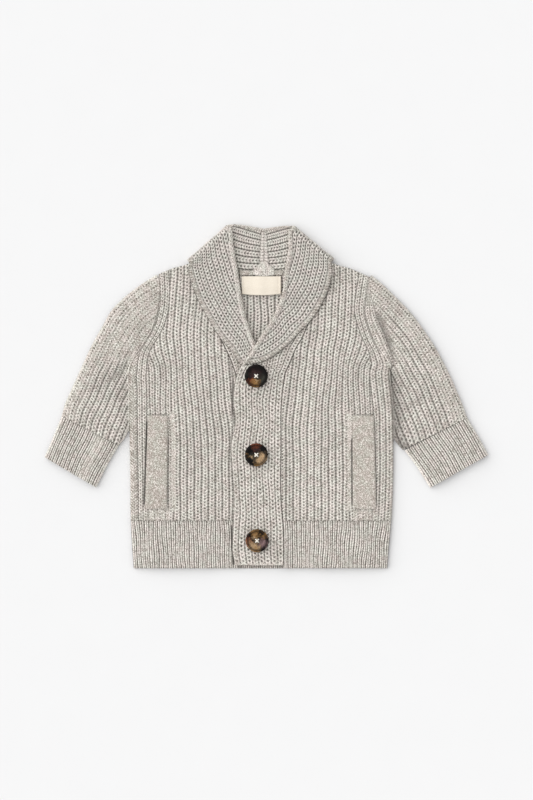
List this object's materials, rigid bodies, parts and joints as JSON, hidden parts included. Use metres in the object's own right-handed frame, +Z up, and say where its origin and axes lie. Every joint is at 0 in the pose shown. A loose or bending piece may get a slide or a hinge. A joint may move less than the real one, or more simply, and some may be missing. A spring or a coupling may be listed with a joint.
{
  "type": "baby cardigan",
  "caption": "Baby cardigan in chunky ribbed knit with a shawl collar, buttoned band, welt pockets and fine ribbed hem and cuffs, laid flat.",
  "frame": {"origin": "on the surface that the cardigan lies on, under the middle of its whole outline", "axes": "+X towards the wearer's left sleeve, +Y from the hem towards the collar, +Z up from the surface, out of the cardigan's front"},
  "size_m": [0.4208, 0.3262, 0.0148],
  "materials": {
    "knit": "heathered oatmeal cotton yarn, half-cardigan rib, matt and slightly fuzzy",
    "label_cloth": "cream woven tape",
    "buttons": "polished tortoiseshell, dark brown with amber and rust patches"
  },
  "bodies": {
    "root": {"back": "knit", "hem_back": "knit", "front_left": "knit", "front_right": "knit", "hem_left": "knit", "hem_right": "knit", "sleeve_left": "knit", "sleeve_right": "knit", "cuff_left": "knit", "cuff_right": "knit", "band_left": "knit", "band_right": "knit", "collar_left": "knit", "collar_right": "knit", "welt_left": "knit", "welt_right": "knit", "neck_tape": "knit", "label": "label_cloth", "button_top": "buttons", "button_middle": "buttons", "button_bottom": "buttons"}
  },
  "joints": []
}
